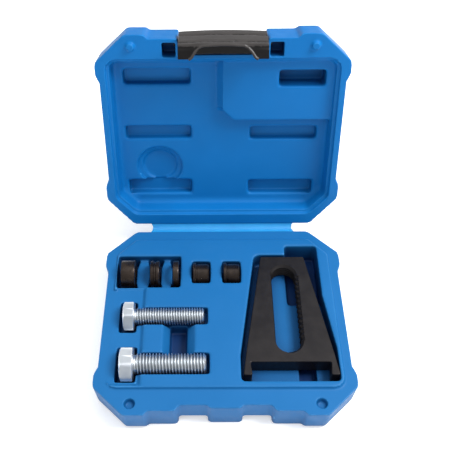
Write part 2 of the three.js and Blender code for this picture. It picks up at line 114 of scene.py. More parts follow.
def modified(mesh, kind, **settings):
    """The mesh after one modifier."""
    piece = bpy.data.objects.new("work", mesh)
    bpy.context.scene.collection.objects.link(piece)
    modifier = piece.modifiers.new("step", kind)
    for key, value in settings.items():
        setattr(modifier, key, value)
    bpy.context.view_layer.update()
    graph = bpy.context.evaluated_depsgraph_get()
    result = bpy.data.meshes.new_from_object(piece.evaluated_get(graph))
    bpy.data.objects.remove(piece)
    return result


def positions(mesh):
    """The mesh's points as rows of x, y and z."""
    points = np.empty(len(mesh.vertices) * 3)
    mesh.vertices.foreach_get("co", points)
    return points.reshape(-1, 3)


def edge_ends(mesh):
    """The point at each end of every edge, as two arrays."""
    ends = np.empty(len(mesh.edges) * 2, int)
    mesh.edges.foreach_get("vertices", ends)
    return ends[0::2], ends[1::2]


def reshaped(mesh, move):
    """Every vertex of the mesh moved by a function of its x, y and z arrays."""
    x, y, z = positions(mesh).T
    mesh.vertices.foreach_set("co", np.stack(move(x, y, z), axis=1).ravel())
    mesh.update()
    return mesh


def loft(name, rings, close=False):
    """Rings of equal length joined in order. Open ends get flat caps."""
    count = len(rings[0])
    vertices = [tuple(point) for ring in rings for point in ring]
    faces = []
    for i in range(len(rings) if close else len(rings) - 1):
        low, high = i * count, (i + 1) % len(rings) * count
        for j in range(count):
            k = (j + 1) % count
            faces.append((low + j, low + k, high + k, high + j))
    if not close:
        faces.append(tuple(reversed(range(count))))
        faces.append(tuple(range(len(vertices) - count, len(vertices))))
    return clean(mesh_of(name, vertices, faces))


def clean(mesh, merge=1e-7, fill=False):
    """Merges points that fell together, fills holes if asked and turns every face outwards."""
    bm = bmesh.new()
    bm.from_mesh(mesh)
    bmesh.ops.remove_doubles(bm, verts=bm.verts, dist=merge)
    bmesh.ops.dissolve_degenerate(bm, edges=bm.edges, dist=1e-7)
    if fill:
        bmesh.ops.holes_fill(bm, edges=bm.edges)
    bmesh.ops.recalc_face_normals(bm, faces=bm.faces)
    bm.to_mesh(mesh)
    bm.free()
    return mesh


def turns(count):
    """Equal steps of a full turn, in radians."""
    return [2 * math.pi * k / count for k in range(count)]


def about_x(x, radius, angle, y, z):
    """A point at this angle around a line along X through y and z."""
    return (x, y + radius * math.cos(angle), z + radius * math.sin(angle))


def spun(name, profile, x, y, z, segments=72):
    """A closed profile of (distance along X, radius) in mm, turned about the line through y and z."""
    rings = []
    for along, radius in profile:
        rings.append([about_x(x + along * MM, radius * MM, a, y, z) for a in turns(segments)])
    return loft(name, rings, close=True)


def arc(x, y, radius, start, end, steps):
    """Points of an arc in mm, from one angle to another in degrees."""
    angles = [math.radians(start + (end - start) * k / steps) for k in range(steps + 1)]
    return [(x + radius * math.cos(a), y + radius * math.sin(a)) for a in angles]


def filleted(corners, steps=5):
    """Corners (x, y, radius) of an outline with each one turned into an arc.

    Known fault: slerp gives unit vectors, so each arc is drawn 1 mm in radius about the right centre.
    """
    points = []
    for i, (x, y, radius) in enumerate(corners):
        corner = Vector((x, y))
        a = (Vector(corners[i - 1][:2]) - corner).normalized()
        b = (Vector(corners[(i + 1) % len(corners)][:2]) - corner).normalized()
        half = a.angle(b) / 2
        centre = corner + (a + b).normalized() * radius / math.sin(half)
        start = corner + a * radius / math.tan(half) - centre
        end = corner + b * radius / math.tan(half) - centre
        for k in range(steps + 1):
            points.append(tuple(centre + start.slerp(end, k / steps)))
    return points


def offset(points, amount):
    """A counter-clockwise outline moved out by amount, which may differ from point to point."""
    loop = np.array(points)
    ahead = np.roll(loop, -1, axis=0) - loop
    ahead /= np.linalg.norm(ahead, axis=1)[:, None]
    behind = np.roll(ahead, 1, axis=0)
    normal = np.stack((ahead[:, 1] + behind[:, 1], -ahead[:, 0] - behind[:, 0]), axis=1)
    normal /= np.maximum(np.linalg.norm(normal, axis=1), 1e-9)[:, None]
    cosine = np.clip((normal * np.stack((ahead[:, 1], -ahead[:, 0]), axis=1)).sum(axis=1), 0.5, 1)
    return loop + normal * (np.asarray(amount) / cosine)[..., None]


def plate_mesh(name, outer_levels, hole_levels):
    """A plate with one hole. Each level is (z, outline); the first and last ones are capped."""
    vertices = []
    faces = []
    ends = []
    for levels, outwards in ((outer_levels, True), (hole_levels, False)):
        count = len(levels[0][1])
        first = len(vertices)
        for z, outline in levels:
            vertices += [(x * MM, y * MM, z) for x, y in outline]
        for i in range(len(levels) - 1):
            low = first + i * count
            for j in range(count):
                k = (j + 1) % count
                face = (low + j, low + k, low + count + k, low + count + j)
                faces.append(face if outwards else face[::-1])
        last = len(vertices) - count
        ends.append((list(range(first, first + count)), list(range(last, len(vertices)))))
    for side in (0, 1):
        loops = [end[side] for end in ends]
        flat = [index for loop in loops for index in loop]
        outlines = [[Vector(vertices[index]) for index in loop] for loop in loops]
        faces += [tuple(flat[corner] for corner in face) for face in tessellate_polygon(outlines)]
    return clean(mesh_of(name, vertices, faces))


def prism_mesh(outline, z0, z1):
    """An outline of (x, y) points in metres drawn up from z0 to z1."""
    return loft("prism", [[(x, y, z) for x, y in outline] for z in (z0, z1)])


def crisp(piece, degrees):
    """Smooth shading that stops at edges sharper than this and leaves level faces flat."""
    piece.data.set_sharp_from_angle(angle=math.radians(degrees))
    for face in piece.data.polygons:
        if abs(face.normal.z) > 0.9999:
            face.use_smooth = False
    return piece


def outer_skin(mesh):
    """Drops every surface that isn't joined to the one reaching furthest to +X."""
    a, b = edge_ends(mesh)
    label = np.arange(len(mesh.vertices))
    while True:
        lowest = np.minimum(label[a], label[b])
        step = label.copy()
        np.minimum.at(step, a, lowest)
        np.minimum.at(step, b, lowest)
        step = step[step]
        if (step == label).all():
            break
        label = step
    keep = label[positions(mesh)[:, 0].argmax()]
    bm = bmesh.new()
    bm.from_mesh(mesh)
    doomed = [v for v, mark in zip(bm.verts, label) if mark != keep]
    bmesh.ops.delete(bm, geom=doomed, context="VERTS")
    bm.to_mesh(mesh)
    bm.free()
    return mesh


def relaxed(mesh, weigh, rounds):
    """Moves each point towards its neighbours' middle, by a weight that depends on where it is."""
    a, b = edge_ends(mesh)
    near, far = np.concatenate((a, b)), np.concatenate((b, a))
    count = len(mesh.vertices)
    points = positions(mesh)
    neighbours = np.bincount(near, minlength=count)
    weight = 0.5 * weigh(*points.T)
    for _ in range(rounds):
        middle = [np.bincount(near, points[far, axis], count) / neighbours for axis in range(3)]
        points += weight[:, None] * (np.stack(middle, axis=1) - points)
    mesh.vertices.foreach_set("co", points.ravel())
    return mesh


def moulded(name, parts, voxel, rounds, share, soft=None):
    """Parts fused into one skin whose edges are rounded as a moulding's are, more so where it is soft."""
    skin = modified(joined(name, parts), "REMESH", mode="VOXEL", voxel_size=voxel)
    skin = modified(outer_skin(skin), "SMOOTH", factor=0.5, iterations=rounds)
    if soft:
        skin = relaxed(skin, *soft)
    skin = modified(skin, "DECIMATE", ratio=share)
    skin.name = name
    return skin


# ---- materials ----------------------------------------------------------------------------

class Look:
    """A material's node tree, with short ways to add to it."""

    def __init__(self, name, roughness, metallic=0.0):
        self.material = bpy.data.materials.new(name)
        self.material.use_nodes = True
        self.nodes = self.material.node_tree.nodes
        self.links = self.material.node_tree.links
        self.shader = self.nodes["Principled BSDF"]
        self.shader.inputs["Metallic"].default_value = metallic
        self.shader.inputs["Roughness"].default_value = roughness
        self.place = self.add("ShaderNodeTexCoord").outputs["Object"]

    def add(self, kind, **inputs):
        node = self.nodes.new(kind)
        for key, value in inputs.items():
            socket = node.inputs[key.replace("_", " ")]
            if isinstance(value, bpy.types.NodeSocket):
                self.links.new(value, socket)
            else:
                socket.default_value = value
        return node

    def noise(self, scale, detail=2.0, stretch=(1, 1, 1)):
        mapping = self.add("ShaderNodeMapping", Vector=self.place, Scale=stretch)
        node = self.add("ShaderNodeTexNoise", Vector=mapping.outputs["Vector"], Scale=scale, Detail=detail)
        return node.outputs["Fac"]

    def ramp(self, value, *stops):
        node = self.add("ShaderNodeValToRGB", Fac=value)
        elements = node.color_ramp.elements
        while len(elements) < len(stops):
            elements.new(0.5)
        for element, (position, color) in zip(elements, stops):
            element.position = position
            element.color = (*color, 1)
        return node.outputs["Color"]

    def between(self, value, low, high, out_low, out_high):
        node = self.add("ShaderNodeMapRange", Value=value)
        keys = ("From Min", "From Max", "To Min", "To Max")
        for key, number in zip(keys, (low, high, out_low, out_high)):
            node.inputs[key].default_value = number
        return node.outputs["Result"]

    def mix(self, share, a, b):
        node = self.nodes.new("ShaderNodeMix")
        node.data_type = "RGBA"
        for index, value in ((0, share), (6, a), (7, b)):
            if isinstance(value, bpy.types.NodeSocket):
                self.links.new(value, node.inputs[index])
            else:
                node.inputs[index].default_value = value if index == 0 else (*value, 1)
        return node.outputs[2]

    def edges(self, low, high):
        """0 to 1 over the sharpness of a convex edge."""
        node = self.add("ShaderNodeNewGeometry")
        return self.between(node.outputs["Pointiness"], low, high, 0, 1)

    def hollows(self, reach, open_at, shut_at, strength):
        """Painted shade: 0 on open faces, up to strength deep in a hollow or a corner."""
        node = self.add("ShaderNodeAmbientOcclusion", Distance=reach)
        return self.between(node.outputs["AO"], shut_at, open_at, strength, 0)

    def marked(self, name):
        """A number that the mesh carries at each point, 0 where it carries none."""
        node = self.add("ShaderNodeAttribute")
        node.attribute_name = name
        return node.outputs["Fac"]

    def bump(self, height, distance, strength=1.0, under=None):
        node = self.add("ShaderNodeBump", Height=height, Distance=distance, Strength=strength)
        if under is not None:
            self.links.new(under, node.inputs["Normal"])
        return node.outputs["Normal"]

    def feed(self, socket, value):
        self.links.new(value, self.shader.inputs[socket])


DEEP_BLUE = (0.003, 0.014, 0.08)     # of the plastic where hardly any light gets


def blow_moulded(name, tone, deep, pale):
    """Blow-moulded polyethylene with a semi-matt skin. Its edges are paler, partly from wear and partly as
    a painted highlight; its hollows and corners, and the floors that the depth attribute marks, are darker
    as painted shade.
    """
    look = Look(name, 0.45)
    cloudy = look.ramp(look.noise(28, 3), (0.35, deep), (0.65, tone))
    # Paler convex edges: partly wear, partly a painted highlight.
    edged = look.mix(look.edges(0.52, 0.6), cloudy, pale)
    # Painted shade in hollows and corners, from the ambient occlusion.
    shaded = look.mix(look.hollows(0.03, 0.7, 0.1, 0.8), edged, DEEP_BLUE)
    # Painted shade on the pocket floors that the depth attribute marks.
    shaded = look.mix(look.marked("depth"), shaded, DEEP_BLUE)
    look.feed("Base Color", shaded)
    look.feed("Roughness", look.between(look.noise(160, 4), 0.3, 0.7, 0.38, 0.5))
    waves = look.bump(look.noise(60, 1), 0.0006, 0.35)
    look.feed("Normal", look.bump(look.noise(2600, 2), 0.00004, 0.5, waves))
    look.shader.inputs["Specular IOR Level"].default_value = 0.16
    return look.material


def black_plastic():
    """Glossy black, with a greyer grain where the mesh's satin attribute says so: on the plate's face, and
    on the bead along the arch as a painted highlight. Paler convex edges are a painted highlight.
    """
    look = Look("black_moulded", 0.4)
    grain_and_sheen_mask = look.marked("grain_and_sheen_mask")
    glossy = look.ramp(look.noise(90, 4), (0.3, (0.003, 0.0025, 0.0025)), (0.7, (0.006, 0.005, 0.005)))
    grain_and_bead_sheen = look.ramp(look.noise(140, 4), (0.3, (0.026, 0.022, 0.021)), (0.7, (0.036, 0.031, 0.029)))
    faces = look.mix(grain_and_sheen_mask, glossy, grain_and_bead_sheen)
    # Paler convex edges: a painted highlight.
    look.feed("Base Color", look.mix(look.edges(0.54, 0.62), faces, (0.07, 0.064, 0.06)))
    look.feed("Roughness", look.between(look.noise(300, 4), 0.3, 0.7, 0.3, 0.4))
    look.feed("Specular IOR Level", look.between(grain_and_sheen_mask, 0, 1, 0.2, 0.45))
    look.feed("Normal", look.bump(look.noise(1200, 2), 0.00001, 0.2))
    return look.material


def black_oxide(name, dark, light, roughness):
    """Blackened steel in two close tones, with a fine grain."""
    look = Look(name, roughness, 0.6)
    patches = look.ramp(look.noise(120, 5), (0.35, dark), (0.7, light))
    look.feed("Base Color", patches)
    look.feed("Roughness", look.between(look.noise(500, 4), 0.3, 0.7, roughness - 0.08, roughness + 0.1))
    look.feed("Normal", look.bump(look.noise(1500, 3), 0.00004, 0.6))
    return look.material


def zinc_plate():
    """Bright zinc: pale and even, with painted shade in the thread roots and a painted highlight on the
    crests and edges.
    """
    look = Look("zinc_plate", 0.36, 1.0)
    plate = look.ramp(look.noise(90, 2), (0.3, (0.5, 0.53, 0.56)), (0.7, (0.6, 0.63, 0.65)))
    # Painted shade in the thread roots.
    root_shaded = look.mix(look.edges(0.42, 0.49), (0.2, 0.23, 0.26), plate)
    # Painted highlight on the thread crests and the head's edges.
    look.feed("Base Color", look.mix(look.edges(0.51, 0.56), root_shaded, (0.93, 0.96, 1.0)))
    look.feed("Roughness", look.between(look.noise(300, 2), 0.3, 0.7, 0.32, 0.42))
    return look.material


def web_blue():
    """The thin web of the hinge, which light passes into. Its blue is brighter than the halves' as painted
    light, for the light shining through it.
    """
    look = Look("web_blue", 0.35)
    # Brighter than the halves' blue: painted light for the light shining through the web.
    tones = look.ramp(look.noise(60, 2), (0.3, (0.01, 0.27, 0.62)), (0.7, (0.015, 0.31, 0.68)))
    look.feed("Base Color", tones)
    look.feed("Roughness", look.between(look.noise(120, 3, (0.2, 1, 1)), 0.3, 0.7, 0.3, 0.45))
    look.shader.inputs["Subsurface Weight"].default_value = 0.4
    look.shader.inputs["Subsurface Radius"].default_value = (0.002, 0.004, 0.006)
    return look.material


BASE_BLUE = blow_moulded("base_blue", (0.011, 0.142, 0.38), (0.009, 0.133, 0.36), (0.06, 0.28, 0.6))
LID_BLUE = blow_moulded("lid_blue", (0.003, 0.158, 0.47), (0.002, 0.147, 0.44), (0.04, 0.28, 0.64))
BLACK = black_plastic()
FRAME_BLACK = black_oxide("frame_oxide", (0.013, 0.011, 0.012), (0.022, 0.019, 0.019), 0.45)
RING_BLACK = black_oxide("ring_oxide", (0.02, 0.013, 0.01), (0.042, 0.028, 0.02), 0.3)
ZINC = zinc_plate()
WEB = web_blue()



# ---- box ----------------------------------------------------------------------------------

def half_parts(shell, tray, to_flat):
    """The CAD walls of a half laid flat. A second, lifted outer wall closes the seam under the rim."""
    lifted = Matrix.Translation((0, 0, 0.5 * MM)) @ to_flat
    outer, inner = frame["nodes"][shell].data, frame["nodes"][tray].data
    return [(outer, to_flat), (outer, lifted), (inner, to_flat)]


def draw_in(mesh):
    """The outer walls lean in towards the floor, as a moulding's do to leave its mould."""
    half_width, half_depth, cut_corner = 72.1 * MM, 62.6 * MM, 116 * MM
    middle = HINGE.y - 66.4 * MM
    slope = 0.07                 # how far the wall leans in for each metre below the rim
    start, blend = 0.93, 0.04    # share of the way out where the lean sets in, and over which

    def move(x, y, z):
        across, along = x, np.where(y > HINGE.y, 2 * HINGE.y - y, y) - middle
        near = np.maximum.reduce((
            np.abs(across) / half_width, np.abs(along) / half_depth,
            (np.abs(across) + np.abs(along)) / cut_corner,
        ))
        weight = np.clip((near - start) / blend, 0, 1) * np.clip(RIM - 0.001 - z, 0, 1) * slope
        flip = np.where(y > HINGE.y, -1, 1)
        return x - weight * across / half_width, y - weight * along / half_depth * flip, z

    return reshaped(mesh, move)


def where_soft(x, y, z):
    """1 on the tray, in the lid's recess and on the front blocks below the rim, 0 elsewhere."""
    across, along, height = np.abs(x) / MM, np.abs(y - HINGE.y) / MM, (z - RIM) / MM
    inside = np.minimum.reduce((
        64.6 - across, along - 11.7, 113 - along,
        0.67 * (along - 11.9) - 0.74 * (across - 54), height + 15.6,
    ))
    front = np.minimum((along - 121) / 2, -2.2 - height)
    return np.clip(np.maximum(inside / 1.5, front), 0, 1)


def deep_floor_shade(x, y, z):
    """Painted shade: rises to its full strength on the floors of the deepest pockets of the tray."""
    strength, start, reach = 0.75, 9.4, 1.6
    below = (RIM - z) / MM - start
    inside = (where_soft(x, y, z) > 0.5) * (np.abs(y) < 51 * MM)
    return strength * np.clip(below / reach, 0, 1) * inside


def mark(mesh, name, value):
    """Stores a number at each point of a mesh, worked out from where the point is."""
    numbers = np.asarray(value(*positions(mesh).T), np.float32)
    mesh.attributes.new(name, "FLOAT", "POINT").data.foreach_set("value", numbers)


def eased(share):
    """0 to 1 with a soft start and a soft end."""
    share = np.clip(share, 0, 1)
    return share * share * (3 - 2 * share)


def strip_slope(mesh):
    """The tray's lower strip beside the bolt heads climbs to the plateau in a soft slope."""
    slope, rise = 3.2, 1.85

    def move(x, y, z):
        across, along = x / MM, (HINGE.y - y) / MM
        outside = np.maximum.reduce((across + 48.2, 49.8 - along, along - 110.6, 0 * across))
        raised = np.clip((z - RIM) / MM / rise, 0, 1) * (np.abs(across) < 63.5)
        return x, y, z - rise * MM * (1 - eased(outside / slope)) * raised

    return reshaped(mesh, move)


def pad_slope(mesh):
    """The left side of the lid's raised pad is a wide slope."""
    slope, floor, pad = 3.6, -10.0, -5.0

    def move(x, y, z):
        across, along, height = x / MM, (y - HINGE.y) / MM, (z - RIM) / MM
        beside = eased((along - 78) / 4) * (along < 111.5) * (across < 1.2) * (across > -slope)
        lowest = floor + (pad - floor) * np.clip((across + slope) / (slope + 0.4), 0, 1)
        raised = np.where((height > floor - 1.2) & (height < lowest), lowest - height, 0)
        return x, y, z + raised * beside * MM

    return reshaped(mesh, move)


def make_base():
    parts = half_parts("base_shell", "base_tray", Matrix.Identity(4))
    skin = moulded("base_moulding", parts, VOXEL, 2, 0.4, (where_soft, 5))
    strip_slope(draw_in(skin))
    # Painted shade on the floors of the tray's deepest pockets.
    mark(skin, "depth", deep_floor_shade)
    piece = new_object("base_moulding", skin, BASE_BLUE)
    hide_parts("base_shell", "base_tray")
    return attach(piece, "base")


def make_lid():
    parts = half_parts("lid_shell", "lid_tray", LAY_FLAT)
    # A small block beside each end of the latch closes a seam between the two walls.
    near, far = HINGE.y + 115.4 * MM, HINGE.y + 126 * MM
    low, high = RIM - 10.2 * MM, RIM - 9.1 * MM
    for side in (-1, 1):
        x0, x1 = sorted((side * 25.9, side * 27.2))
        parts.append((box_mesh(x0 * MM, x1 * MM, near, far, low, high), Matrix.Identity(4)))
    skin = moulded("lid_moulding", parts, VOXEL, 2, 0.4, (where_soft, 8))
    pad_slope(draw_in(skin))
    skin.transform(RAISE)
    piece = new_object("lid_moulding", skin, LID_BLUE)
    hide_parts("lid_shell", "lid_tray")
    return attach(piece, "lid")


def make_web():
    """The living hinge: one thin strip, its ends drawn in, curved between the halves where they stand at
    rest.
    """
    half, inward, thickness = 46.5 * MM, 2.2 * MM, 0.8 * MM
    base_edge, lid_edge = 4.2 * MM, 2.8 * MM
    base_end = Vector((0, HINGE.y - base_edge, RIM - 0.7 * MM))
    lid_end = RAISE @ Vector((0, HINGE.y + lid_edge, RIM - 0.7 * MM))
    middle = Vector((0, HINGE.y + 0.5 * MM, RIM - 0.6 * MM))
    steps, columns = 20, 60
    rings = []
    for j in range(columns + 1):
        across = 2 * j / columns - 1
        line = []
        for i in range(steps + 1):
            t = i / steps
            along = (1 - t) ** 2 * base_end + 2 * t * (1 - t) * middle + t * t * lid_end
            slope = (2 * (1 - t) * (middle - base_end) + 2 * t * (lid_end - middle)).normalized()
            normal = Vector((0, -slope.z, slope.y))
            pinch = inward * math.sqrt(max(0.0, 1 - (2 * t - 1) ** 2))
            line.append((along, normal, across * (half - pinch)))
        upper = [p + n * thickness / 2 + Vector((x, 0, 0)) for p, n, x in line]
        lower = [p - n * thickness / 2 + Vector((x, 0, 0)) for p, n, x in reversed(line)]
        rings.append(upper + lower)
    piece = new_object("hinge_web", loft("hinge_web", rings), WEB)
    crisp(piece, 50)
    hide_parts("hinge_leaf_base", "hinge_leaf_lid")
    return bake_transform(piece)


# ---- screws -------------------------------------------------------------------------------

def thread_radius(phase, major, depth):
    """Radius of a metric thread at a share of its pitch: crest, flank, root, flank."""
    crest, flank = 0.125, 0.354
    root_end = 1 - flank
    share = phase % 1.0
    if share < crest:
        return major
    if share < crest + flank:
        return major - depth * (share - crest) / flank
    if share < root_end:
        return major - depth
    return major - depth * (1 - share) / flank


def shank_mesh(x0, x1, y, z, major, pitch):
    """The threaded shank: rows that follow the helix, cut off square at both ends."""
    segments = 64
    rows_per_pitch = 8
    depth = 0.6134 * pitch
    chamfer = depth + 0.3 * MM
    neck = 0.9 * pitch
    rows = int((x1 - x0) / pitch + 2) * rows_per_pitch
    rings = []
    for i in range(-rows_per_pitch, rows + 1):
        ring = []
        for j in range(segments):
            turn = j / segments
            x = min(max(x0 + pitch * (i / rows_per_pitch + turn), x0), x1)
            radius = thread_radius((x - x0) / pitch - turn, major, depth)
            radius = min(radius, major - chamfer + (x1 - x))
            fade = min(1.0, max(0.0, (x - x0) / neck - 0.3))
            radius = (major - 0.8 * depth) * (1 - fade) + radius * fade
            ring.append(about_x(x, radius, 2 * math.pi * turn, y, z))
        rings.append(ring)
    return helix_closed("shank", rings, rows_per_pitch)


def helix_closed(name, rings, step):
    """Rings whose seam joins each row to the one a pitch further on."""
    count = len(rings[0])
    vertices = [point for ring in rings for point in ring]
    faces = []
    for i in range(len(rings) - 1):
        for j in range(count - 1):
            low = i * count + j
            faces.append((low, low + 1, low + count + 1, low + count))
        if i + step + 1 < len(rings):
            a, b = i * count + count - 1, (i + step) * count
            faces.append((a, b, b + count, a + count))
    return clean(mesh_of(name, vertices, faces), merge=1e-6, fill=True)


def head_mesh(x, length, flats, y, z):
    """A hexagon lying on a flat, its outer face chamfered at 30 degrees and a washer face behind."""
    segments = 72
    face, rise, edge = 0.475 * flats, math.tan(math.radians(30)), 0.15 * MM
    washer, washer_rise = 0.46 * flats, 0.3 * MM
    angles = turns(segments)
    corners = []
    for angle in angles:
        off = (angle + math.pi / 6) % (math.pi / 3) - math.pi / 6
        corners.append(0.5 * flats / math.cos(math.pi / 6 - abs(off)))
    levels = [
        [(x, 0.6 * face) for _ in corners],
        [(x, face) for _ in corners],
        [(x + (r - face) * rise, r - 0.02 * MM) for r in corners],
        [(x + (r - face) * rise + edge, r) for r in corners],
        [(x + (r - face) * rise + 3 * edge, r) for r in corners],
        [(x + length - washer_rise - 3 * edge, r) for r in corners],
        [(x + length - washer_rise - edge, r) for r in corners],
        [(x + length - washer_rise, r - edge) for r in corners],
        [(x + length - washer_rise, washer) for _ in corners],
        [(x + length, washer - edge) for _ in corners],
    ]
    return loft("head", [
        [about_x(along, radius, angle, y, z) for (along, radius), angle in zip(level, angles)]
        for level in levels
    ])


def make_screw(node, major, pitch, flats, head):
    low, high = (Vector(corner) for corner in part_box(node))
    y, z = (low.y + high.y) / 2, (low.z + high.z) / 2
    split = low.x + head * MM
    parts = [
        (head_mesh(low.x, head * MM, flats * MM, y, z), Matrix.Identity(4)),
        (shank_mesh(split - 0.05 * MM, high.x, y, z, major * MM, pitch * MM), Matrix.Identity(4)),
    ]
    piece = crisp(new_object(node + "_threaded", joined(node + "_threaded", parts), ZINC), 26)
    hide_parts(node)
    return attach(piece, node)


# ---- rings and bushes -----------------------------------------------------------------------

def ring_profile(width, radius, bore, groove=0.0):
    """Half section of a ring, edges broken, with an optional shallow groove around its middle."""
    edge, lip = 0.5, 0.35
    points = [(0, bore + lip), (0, radius - edge), (edge * 0.3, radius - edge * 0.3), (edge, radius)]
    if groove:
        points += [(width * 0.32, radius), (width * 0.4, radius - groove)]
        points += [(width * 0.6, radius - groove), (width * 0.68, radius)]
    points += [(width - edge, radius), (width - edge * 0.3, radius - edge * 0.3), (width, radius - edge)]
    return points + [(width, bore + lip), (width - lip, bore), (lip, bore)]


def bush_profile(width, body, collar, bore):
    """Half section of a bush: a collar at its left, an undercut, a turned body with a chamfer."""
    edge, collar_width = 0.35, 1.8
    return [
        (0, bore + edge), (0, collar - edge), (edge, collar), (collar_width - edge, collar),
        (collar_width, collar - edge), (collar_width, body - 0.3), (collar_width + 0.7, body - 0.3),
        (collar_width + 0.9, body), (width - 1.3, body), (width - 1.25, body - 0.18),
        (width - 1, body - 0.18), (width - 0.95, body), (width - 0.6, body), (width, body - 0.6),
        (width, bore + edge), (width - edge, bore), (edge, bore),
    ]


def make_turned(node, profile):
    low, high = (Vector(corner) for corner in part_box(node))
    y, z = (low.y + high.y) / 2, (low.z + high.z) / 2
    width = (high.x - low.x) / MM
    mesh = spun(node + "_turned", profile(width), low.x, y, z)
    piece = crisp(new_object(node + "_turned", mesh, RING_BLACK), 30)
    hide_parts(node)
    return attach(piece, node)


# ---- separator frame ------------------------------------------------------------------------

def slot_outline(x, rear, front, radius, bites):
    """The slot: round ends, a straight left side and a right side of round bites."""
    pitch = (rear - front) / bites
    bite = pitch / 2 / math.sin(math.radians(52))
    points = arc(x, front, radius, 180, 360, 24)
    for i in range(bites):
        middle = front + pitch * (i + 0.5)
        centre = x + radius - bite * math.cos(math.radians(52)) - 0.15
        points += arc(centre, middle, bite, -50, 50, 8)
    return points + arc(x, rear, radius, 0, 180, 24)


def make_frame():
    low, high = (Vector(corner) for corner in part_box("separator_frame"))
    x = (low.x + high.x) / 2 / MM
    rear, tip = high.y / MM, low.y / MM
    half, back_half, fork_half = (high.x - low.x) / 2 / MM, 13.7, 22
    waist, fork = tip + 14.2, tip + 7.3
    outer = filleted([
        (x + back_half, rear, 1.6), (x - back_half, rear, 1.6), (x - half, waist, 2.5),
        (x - half, tip, 0.6), (x - fork_half, tip, 0.5), (x - fork_half, fork, 0.8),
        (x + fork_half, fork, 0.8), (x + fork_half, tip, 0.5), (x + half, tip, 0.6), (x + half, waist, 2.5),
    ])
    slot_radius, slot_rear, slot_front = 7.4, rear - 15, tip + 21
    slot = slot_outline(x, slot_rear, slot_front, slot_radius, 13)
    bevel, pitch, cut = 0.45, 1.75, 0.45
    bottom, top = low.z, high.z

    outer_levels = [
        (bottom, offset(outer, -bevel)), (bottom + bevel * MM, offset(outer, 0)),
        (top - bevel * MM, offset(outer, 0)), (top - bevel * 0.3 * MM, offset(outer, -bevel * 0.35)),
        (top, offset(outer, -bevel)), (top, offset(outer, -bevel - 0.3)),
    ]
    # The round ends and the bites are tapped; the straight side is plain.
    points = np.array(slot)
    tapped = np.clip((points[:, 0] - x) / 2 + 1, 0, 1)
    tapped = np.maximum(tapped, np.clip((points[:, 1] - slot_rear) / 2, 0, 1))
    hole_levels = [(bottom, offset(slot, bevel)), (bottom + bevel * MM, offset(slot, 0))]
    z = bottom + (bevel + 0.4) * MM
    crest = False
    while z < top - (bevel + 0.4) * MM:
        hole_levels.append((z, offset(slot, tapped * (-cut if crest else 0.1))))
        crest = not crest
        z += pitch / 2 * MM
    countersink = 0.9
    widened = bevel + tapped * (countersink - bevel)
    hole_levels.append((top - countersink * MM, offset(slot, 0)))
    hole_levels.append((top, offset(slot, widened)))
    hole_levels.append((top, offset(slot, 0.3 + widened)))
    mesh = plate_mesh("frame_plate", outer_levels, hole_levels)
    piece = crisp(new_object("frame_plate", mesh, FRAME_BLACK), 24)
    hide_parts("separator_frame")
    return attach(piece, "separator_frame")


# ---- latch ----------------------------------------------------------------------------------

